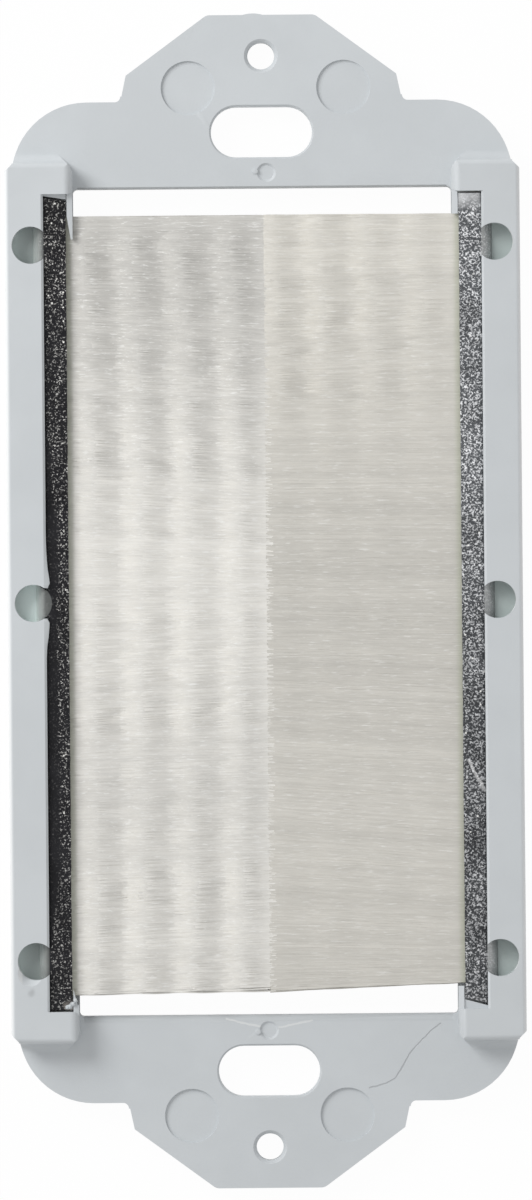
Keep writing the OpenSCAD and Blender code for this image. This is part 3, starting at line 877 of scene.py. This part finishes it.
def straight_fibre():
    """One three-sided fibre along X, of length 1 and radius 1, with a row of the bake's map for each side."""
    bm = bmesh.new()
    bmesh.ops.create_cone(bm, cap_ends=True, cap_tris=False, segments=3, radius1=1, radius2=1, depth=1)
    bmesh.ops.rotate(bm, cent=(0, 0, 0), matrix=Matrix.Rotation(math.radians(90), 3, "Y"), verts=bm.verts)
    bmesh.ops.translate(bm, vec=(0.5, 0, 0), verts=bm.verts)
    for i in range(1, FIBRE_SEGMENTS):
        bmesh.ops.bisect_plane(
            bm,
            geom=bm.verts[:] + bm.edges[:] + bm.faces[:],
            plane_co=(i / FIBRE_SEGMENTS, 0, 0),
            plane_no=(1, 0, 0),
        )
    layer = bm.loops.layers.uv.new("OFBake")
    for face in bm.faces:
        middle = face.calc_center_median()
        if abs(face.normal.x) > 0.5:
            start = 0.955 if face.normal.x < 0 else 0.98
            for loop in face.loops:
                co = loop.vert.co
                loop[layer].uv = (start + 0.008 * (1 + co.y), 0.5 + 0.35 * co.z)
            continue
        angle = math.atan2(middle.z, middle.y)
        row = int(((angle / (2 * math.pi)) % 1) * 3 + 0.5) % 3
        for loop in face.loops:
            co = loop.vert.co
            turn = (math.atan2(co.z, co.y) - angle + math.pi) % (2 * math.pi) - math.pi
            loop[layer].uv = (0.01 + 0.93 * co.x, (row + (0.88 if turn > 0 else 0.12)) / 3)
    mesh = bpy.data.meshes.new("straight_fibre")
    bm.to_mesh(mesh)
    bm.free()
    return mesh


def fibre_bed(count):
    """A mesh of that many straight fibres, all in one place, each with its own cell of the bake's map."""
    single = straight_fibre()
    bm = bmesh.new()
    for _ in range(count):
        bm.from_mesh(single)
    mesh = bpy.data.meshes.new("fibres")
    bm.to_mesh(mesh)
    bm.free()
    corners = len(single.loops)
    bpy.data.meshes.remove(single)
    layer = mesh.uv_layers["OFBake"].uv
    uv = np.empty(count * corners * 2, dtype=np.float32)
    layer.foreach_get("vector", uv)
    uv = uv.reshape(count, corners, 2)
    rows = math.ceil(count / UV_COLUMNS)
    cells = np.arange(count)
    uv[:, :, 0] = (uv[:, :, 0] + (cells % UV_COLUMNS)[:, None]) / UV_COLUMNS
    uv[:, :, 1] = (uv[:, :, 1] * 0.9 + 0.05 + (cells // UV_COLUMNS)[:, None]) / rows
    layer.foreach_set("vector", uv.ravel())
    return mesh


def fibre_rows(count, look, column):
    """Where each fibre starts along Y, how deep it lies in the pack, and whether it is a stray."""
    order = np.arange(count)[:, None]
    low = PACK_END + look["low_end"]
    spread = (order + column(0, 1)) / count * 2 - 1
    # Every fourteenth fibre fills one of the pack's cut ends, at any depth
    ends = order % 14 == 0
    at_low = column(-1, 1) < 0
    end_y = np.where(at_low, column(0, 0.3) - low, PACK_END - column(0, 0.3))
    y0 = np.where(ends, end_y, PACK_END - (PACK_END + low) * (1 - spread) / 2)
    depth = np.where(ends, column(0, 1.8), column(0, look["depth"]))
    # A tenth of the others lie a little proud
    strays = (column(0, 1) > 0.9) & ~ends
    depth = np.where(strays, column(-0.012, 0.0), depth)
    return y0, depth, strays


def lay_fibres(mesh, count, side, upper, settings, look, seed):
    """Bends every fibre of a bed along its own waved path from the channel's mouth to its tip."""
    draw = np.random.default_rng(seed)
    co = np.empty(len(mesh.vertices) * 3)
    mesh.vertices.foreach_get("co", co)
    co = co.reshape(count, -1, 3)
    along, ring_y, ring_z = co[:, :, 0], co[:, :, 1], co[:, :, 2]

    def column(low, high):
        return draw.uniform(low, high, (count, 1))

    y0, depth, strays = fibre_rows(count, look, column)
    level = math.copysign(FIBRE_LEVEL, 1 if upper else -1)
    z0 = AXIS_Z / MM + level - math.copysign(1, level) * depth
    cross = look["cross"] if upper else 0
    free = FREE_L / MM + cross
    # The tips are ragged, and three fibres in a hundred are shorter still
    reach = free - look["ragged"] * column(0, 1) ** 1.5 - np.where(column(0, 1) > 0.97, column(0, 1.2), 0)
    s = -ROOT_L / MM + (reach + ROOT_L / MM) * along
    run = np.clip(s, 0, None)

    ease = np.clip(run / 1.5, 0, 1)
    own_wave = column(2.2, 6.0)
    own = column(0.002, 0.012) * ease * np.sin(2 * math.pi * run / own_wave + column(0, 6.28))
    z = z0 + pack_height(run, y0, settings, look, column(-0.6, 0.6)) + own

    yaw = column(-0.012, 0.012) + np.where(strays, column(-0.04, 0.04), 0)
    sway = column(0.01, 0.05) * np.sin(2 * math.pi * run / column(4, 11) + column(0, 6.28))
    y = y0 + yaw * run + sway * ease + look["lean"](y0) * (run / (FREE_L / MM))
    y = np.clip(y, -PACK_END - LEAN_ROOM, PACK_END)

    radius = settings.diameter / 2 / MM * column(0.82, 1.1)
    # A flat side of every fibre faces out of the pack
    first = math.atan2(ring_z[0, 0], ring_y[0, 0])
    roll = -math.copysign(math.pi / 2, level) - first + column(-0.35, 0.35)
    dy = (ring_y * np.cos(roll) - ring_z * np.sin(roll)) * radius
    dz = (ring_y * np.sin(roll) + ring_z * np.cos(roll)) * radius
    placed = np.stack(
        [side * (MOUTH_X / MM - s), y - side * dy, z + FLATNESS * dz],
        axis=2,
    )
    mesh.vertices.foreach_set("co", (placed * MM).ravel())

    # Painted highlight: the upper fibres pale towards their tips
    tip_highlight = np.clip((run - free + 0.45) / 0.45, 0, 1) * look["painted_tip_light"]
    tone = look["tone"](y0) + 0.1 * wander(y0, seed + 3, longest=5) + column(-0.1, 0.12) + tip_highlight
    tones = np.clip(tone, 0, 1).ravel()
    attribute = mesh.attributes.new("tone", "FLOAT", "POINT")
    attribute.data.foreach_set("value", tones.astype(np.float32))
    mesh.update()


def pack_core(side, settings, look):
    """The packed fibres below the top ones, as a slab with the same waves that lets no light through."""
    bm = bmesh.new()
    bmesh.ops.create_grid(bm, x_segments=56, y_segments=170, size=0.5)
    top_reach, under_reach = look["slab_reach"]
    start, end = -ROOT_L / MM + 0.15, MOUTH_X / MM + top_reach
    bmesh.ops.scale(bm, vec=(end - start, 2 * (PACK_Y / MM - 0.3) + look["low_end"], 1), verts=bm.verts)
    bmesh.ops.translate(bm, vec=(0, -look["low_end"] / 2, 0), verts=bm.verts)
    slab = bmesh.ops.extrude_face_region(bm, geom=bm.faces[:])
    raised = [g for g in slab["geom"] if isinstance(g, bmesh.types.BMVert)]
    bmesh.ops.translate(bm, vec=(0, 0, 2 * SLAB_LEVEL), verts=raised)
    bmesh.ops.translate(bm, vec=(0, 0, -SLAB_LEVEL), verts=bm.verts)
    tone = bm.verts.layers.float.new("tone")
    for vert in bm.verts:
        run = vert.co.x + (end + start) / 2
        if vert.co.z < 0:
            run = start + (run - start) * (MOUTH_X / MM + under_reach - start) / (end - start)
        vert[tone] = look["tone"](vert.co.y)
        vert.co.z += AXIS_Z / MM + 0.93 * pack_height(max(run, 0), vert.co.y, settings, look, 0)
        vert.co.y += look["lean"](vert.co.y) * max(run, 0) / (FREE_L / MM)
        vert.co.x = side * (MOUTH_X / MM - run)
    bmesh.ops.recalc_face_normals(bm, faces=bm.faces)
    bmesh.ops.scale(bm, vec=(MM, MM, MM), verts=bm.verts)
    return bm


def pack_height(run, y, settings, look, offset):
    """How far the fibres at y lie over the channel's middle, at a distance run from its mouth."""
    wave = settings.crimp_length / MM
    ease = np.clip(run / 1.5, 0, 1) * np.clip((FREE_L / MM + 0.4 - run) / 1.6, 0, 1)
    swell = look["swell"](y) * (1 + look["fade"] * (run / (FREE_L / MM) - 0.5))
    patches = 1 + 0.3 * np.sin(0.8 * run + 4 * wander(y, SEED + 60, longest=11))
    turn = 2 * math.pi * run / wave + look["phase"](y) + offset
    steeper = 0.18 * look["side"] * np.sin(2 * turn)
    rise = look["rise"] * (run / (FREE_L / MM)) ** 2 * np.clip((FREE_L / MM + 0.5 - run) / 2.5, 0, 1)
    return rise + settings.crimp_height / MM * swell * patches * ease * (np.sin(turn) - steeper)


def along_pack(*points):
    """A course through pairs of a place along the pack, in millimetres, and the value there."""
    places, values = zip(*points)

    def course(y):
        return np.interp(y, places, values)

    return course


def bundle_phase(y, seed):
    """How far the waves of neighbouring bundles are out of step."""
    return 0.25 * wander(y, seed, longest=13) + 0.35 * wander(y, seed + 1, waves=4, longest=4.5)


def left_phase(y):
    return along_pack(
        (-33, -1.7), (-20, -1.8), (-10, -1.7), (14, -1.85), (25, -1.4), (33, -0.8),
    )(y) + bundle_phase(y, SEED + 21)


def right_phase(y):
    return along_pack((-34, 3.6), (16, 3.8), (23, 3.7), (31, 2.9))(y) + bundle_phase(y, SEED + 31)


def left_swell(y):
    course = along_pack(
        (-34, 0.8), (-27, 1.0), (-21, 0.7), (-17, 0.45), (-11, 0.75), (-6, 0.78), (0, 0.55),
        (6, 0.5), (10, 0.75), (15, 0.85), (23, 0.68), (30, 0.8), (34, 0.4),
    )
    return course(y) * (1 + 0.4 * wander(y, SEED + 20, longest=8))


def right_swell(y):
    return along_pack(
        (-34, 0.09), (8, 0.1), (16, 0.16), (22, 0.5), (32, 0.45),
    )(y) * (1 + 0.4 * wander(y, SEED + 30, longest=9))


def left_lean(y):
    course = along_pack(
        (-34, 0.35), (-30, 0.8), (-23.5, 0.55), (-16.7, 0.3), (-10, 0.7), (-3.2, 0.8), (0, 0),
        (3.5, -0.8), (10, -1.1), (17, -0.6), (24, -1.1), (30, -0.5), (34, 0.0),
    )
    return course(y) + 0.1 * wander(y, SEED + 50, longest=9)


def right_lean(y):
    course = along_pack(
        (-34, -0.6), (-30, 0.73), (-23.5, 1.5), (-16.7, 1.28), (-10, 0.93), (-3.2, 0.47),
        (10, 0.15), (17, -0.15), (24, -0.8), (30, 0.0), (34, 0.0),
    )
    return course(y) + 0.1 * wander(y, SEED + 51, longest=9)


# How the two packs lie, with lengths in millimetres:
#   side        -1 on the left and 1 on the right
#   phase       step of the waves along the pack, in radians
#   rise        how far the waves' middle rises towards the tips
#   cross       how far the upper fibres run on over the seam
#    painted_tip_light   how much paler the upper fibres are painted at their tips, a painted highlight
#   slab_reach  where the slab ends past the seam, on top and below
#   low_end     how far the pack runs past the solid's lower end
#   ragged      how unequal in length the fibres are
#   depth       how deep the fibres of a layer lie under one another
#   swell       height of the waves along the pack, as a share of the crimp height
#   fade        how much higher the waves are at the tips than at the roots
#   tone        paleness along the pack, from 0 to 1
#   lean        how far the tips lie off along Y
LOOKS = {
    "left": {
        "side": -1,
        "phase": left_phase,
        "rise": 0.07,
        "cross": 0.85,
        "painted_tip_light": 0.6,
        "slab_reach": (0.1, -0.95),
        "low_end": 0.55,
        "ragged": 0.85,
        "depth": 0.015,
        "swell": left_swell,
        "fade": -0.15,
        "tone": along_pack(
            (-34, 0.72), (-27, 0.75), (-17, 0.56), (-7, 0.79), (4.5, 0.86), (14, 0.63), (23, 0.33),
            (30, 0.17), (34, 0.19),
        ),
        "lean": left_lean,
    },
    "right": {
        "side": 1,
        "phase": right_phase,
        "rise": 0.0,
        "cross": 0.0,
        "painted_tip_light": 0.0,
        "slab_reach": (-0.12, 0.93),
        "low_end": -0.3,
        "ragged": 0.3,
        "depth": 0.015,
        "swell": right_swell,
        "fade": 0.9,
        "tone": along_pack(
            (-34, 0.46), (-27, 0.48), (-17, 0.5), (-7, 0.36), (4.5, 0.34), (14, 0.52), (23, 0.63),
            (31, 0.74),
        ),
        "lean": right_lean,
    },
}


class BRUSH_OT_bristle_packs(bpy.types.Operator):
    """Lays the crimped fibres of the two packs"""

    bl_idname = "brush_insert.bristle_packs"
    bl_label = "Bristle packs"

    def execute(self, context):
        settings = context.scene.brush_bristles
        for i, (name, look) in enumerate(LOOKS.items()):
            node = name + "_bristles"
            material = bpy.data.materials[name + "_nylon"]
            for layer, upper, count in (
                ("upper", True, settings.upper_fibres),
                ("under", False, settings.under_fibres),
            ):
                mesh = fibre_bed(count)
                lay_fibres(mesh, count, look["side"], upper, settings, look, SEED + 10 * i + upper)
                fibres = placed_piece(f"{name}_{layer}_fibres", mesh, material, [node])
                # Clear fibres cast next to no shadow on each other
                fibres.visible_shadow = False
            core = pack_core(look["side"], settings, look)
            finished_piece(name + "_pack_core", core, bpy.data.materials[name + "_core"], [node])
        return {"FINISHED"}


# Stage


class BRUSH_OT_stage(bpy.types.Operator):
    """Sets the floor, the soft light and the camera over the insert"""

    bl_idname = "brush_insert.stage"
    bl_label = "Stage"

    def execute(self, context):
        settings = context.scene.brush_stage
        scene = context.scene
        scene.view_settings.view_transform = "Standard"
        add_floor(scene)
        add_room_light(scene, settings)
        add_key_lamp(scene, settings)
        add_camera(scene, settings)
        return {"FINISHED"}


def shown_white(tree):
    """1 where the camera, a mirror or glass looks straight at the surface."""
    path = tree.nodes.new("ShaderNodeLightPath")
    seen = maths(tree, "MAXIMUM", path.outputs["Is Camera Ray"], path.outputs["Is Glossy Ray"])
    return maths(tree, "MAXIMUM", seen, path.outputs["Is Transmission Ray"])


def add_floor(scene):
    """A pale floor that looks white and keeps the insert's shadow."""
    bm = bmesh.new()
    bmesh.ops.create_grid(bm, x_segments=1, y_segments=1, size=1.5)
    bmesh.ops.translate(bm, vec=(0, 0, -0.02 * MM), verts=bm.verts)
    mesh = bpy.data.meshes.new("floor")
    bm.to_mesh(mesh)
    bm.free()
    floor = bpy.data.objects.new("floor", mesh)
    scene.collection.objects.link(floor)
    tree, shader = new_material("white_floor")
    shader.inputs["Base Color"].default_value = (0.9, 0.9, 0.9, 1)
    shader.inputs["Roughness"].default_value = 0.9
    glow = add(tree, "ShaderNodeEmission", Color=(1, 1, 1, 1), Strength=1.0)
    blend = tree.nodes.new("ShaderNodeMixShader")
    fill(tree, blend.inputs[0], maths(tree, "MULTIPLY", shown_white(tree), 0.97))
    tree.links.new(shader.outputs[0], blend.inputs[1])
    tree.links.new(glow.outputs[0], blend.inputs[2])
    tree.links.new(blend.outputs[0], tree.nodes["Material Output"].inputs["Surface"])
    mesh.materials.append(bpy.data.materials["white_floor"])


def add_room_light(scene, settings):
    """Even light from all round, in a room that looks white."""
    world = bpy.data.worlds.new("room")
    scene.world = world
    world.use_nodes = True
    tree = world.node_tree
    background = tree.nodes["Background"]
    background.inputs["Color"].default_value = (1, 1, 1, 1)
    seen = shown_white(tree)
    strength = maths(tree, "ADD", settings.sky, maths(tree, "MULTIPLY", seen, 1 - settings.sky))
    tree.links.new(strength, background.inputs["Strength"])


def add_key_lamp(scene, settings):
    """A soft lamp at the upper left, turned to the insert."""
    data = bpy.data.lights.new("key_lamp", "AREA")
    data.shape = "RECTANGLE"
    data.size = 0.18
    data.size_y = 0.24
    data.energy = settings.key_power
    lamp = bpy.data.objects.new("key_lamp", data)
    scene.collection.objects.link(lamp)
    lamp.location = (-0.28, 0.22, 0.27)
    lamp.rotation_euler = (-lamp.location).to_track_quat("-Z", "Y").to_euler()


def add_camera(scene, settings):
    """A long lens straight over the insert."""
    data = bpy.data.cameras.new("camera")
    data.sensor_fit = "VERTICAL"
    data.sensor_height = 24
    data.lens = 12 / (settings.view_height / 2 / settings.camera_height)
    data.clip_start = 0.01
    data.clip_end = 10
    camera = bpy.data.objects.new("camera", data)
    scene.collection.objects.link(camera)
    camera.location = (0.05 * MM, 0.12 * MM, EAR_TOP_Z + settings.camera_height)
    camera.rotation_euler = (0, 0, -settings.roll)
    scene.camera = camera


class BRUSH_OT_finishes(bpy.types.Operator):
    """Makes the finishes that the pieces share"""

    bl_idname = "brush_insert.finishes"
    bl_label = "Finishes"

    def execute(self, context):
        scene = context.scene
        channels, bristles = scene.brush_channels, scene.brush_bristles
        build_grain_group()
        build_spangle_group()
        build_line_group()
        build_recess_group()
        build_soft_group()
        plastic_material(scene.brush_moulding)
        for name, ground, grains, share, back_and_highlight, wear_and_light in (
            # Painted shaded and lit copies of one zinc: the right one's paler, denser grains are painted light
            ("shaded_zinc_spangle", channels.shaded_zinc_colour, (0.74, 0.73, 0.7), 0.42, (0.36, 0.38, 0.37), shaded_zinc_wear_and_light),
            ("lit_zinc_spangle", channels.lit_zinc_colour, (0.93, 0.94, 0.96), 0.95, (0.33, 0.34, 0.34), lit_zinc_wear_and_light),
        ):
            zinc_material(name, ground, grains, share, channels.grain, back_and_highlight, wear_and_light)
        wire_material()
        left = Vector(bristles.colour)
        right = Vector((left.x * 0.93, left.y * 0.92, left.z * 0.895))
        for name, colour, relief, painted_glint_dashes in (
            ("left_nylon", left, 0.003 * MM, 0.65),
            ("right_nylon", right, 0.002 * MM, 0.4),
            # The cores are painted a little darker: painted shade under the top fibres
            ("left_core", left * 0.98, 0.004 * MM, 0.65),
            ("right_core", right * 0.98, 0.003 * MM, 0.4),
        ):
            nylon_material(name, colour, relief, painted_glint_dashes)
        return {"FINISHED"}


class BRUSH_PT_insert(bpy.types.Panel):
    """Lists the steps that build the insert"""

    bl_idname = "BRUSH_PT_insert"
    bl_label = "Brush Insert"
    bl_space_type = "VIEW_3D"
    bl_region_type = "UI"
    bl_category = "Brush Insert"

    def draw(self, context):
        scene = context.scene
        for group in (scene.brush_moulding, scene.brush_channels, scene.brush_bristles, scene.brush_stage):
            box = self.layout.box()
            for name in group.bl_rna.properties.keys():
                if name not in ("rna_type", "name"):
                    box.prop(group, name)
        for operator in STEPS:
            self.layout.operator(operator.bl_idname)


SETTINGS = {
    "brush_moulding": MouldingSettings,
    "brush_channels": ChannelSettings,
    "brush_bristles": BristleSettings,
    "brush_stage": StageSettings,
}
STEPS = (
    BRUSH_OT_finishes,
    BRUSH_OT_moulded_frame,
    BRUSH_OT_channels,
    BRUSH_OT_core_wires,
    BRUSH_OT_bristle_packs,
    BRUSH_OT_stage,
)


def register():
    for settings in SETTINGS.values():
        bpy.utils.register_class(settings)
    for operator in STEPS:
        bpy.utils.register_class(operator)
    bpy.utils.register_class(BRUSH_PT_insert)
    for name, settings in SETTINGS.items():
        setattr(bpy.types.Scene, name, PointerProperty(type=settings))


def unregister():
    for name in SETTINGS:
        delattr(bpy.types.Scene, name)
    bpy.utils.unregister_class(BRUSH_PT_insert)
    for operator in reversed(STEPS):
        bpy.utils.unregister_class(operator)
    for settings in reversed(SETTINGS.values()):
        bpy.utils.unregister_class(settings)


def main():
    """Builds everything."""
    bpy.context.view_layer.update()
    register()
    bpy.ops.brush_insert.finishes()
    bpy.ops.brush_insert.moulded_frame()
    bpy.ops.brush_insert.channels()
    bpy.ops.brush_insert.core_wires()
    bpy.ops.brush_insert.bristle_packs()
    bpy.ops.brush_insert.stage()


if __name__ == "__main__":
    main()
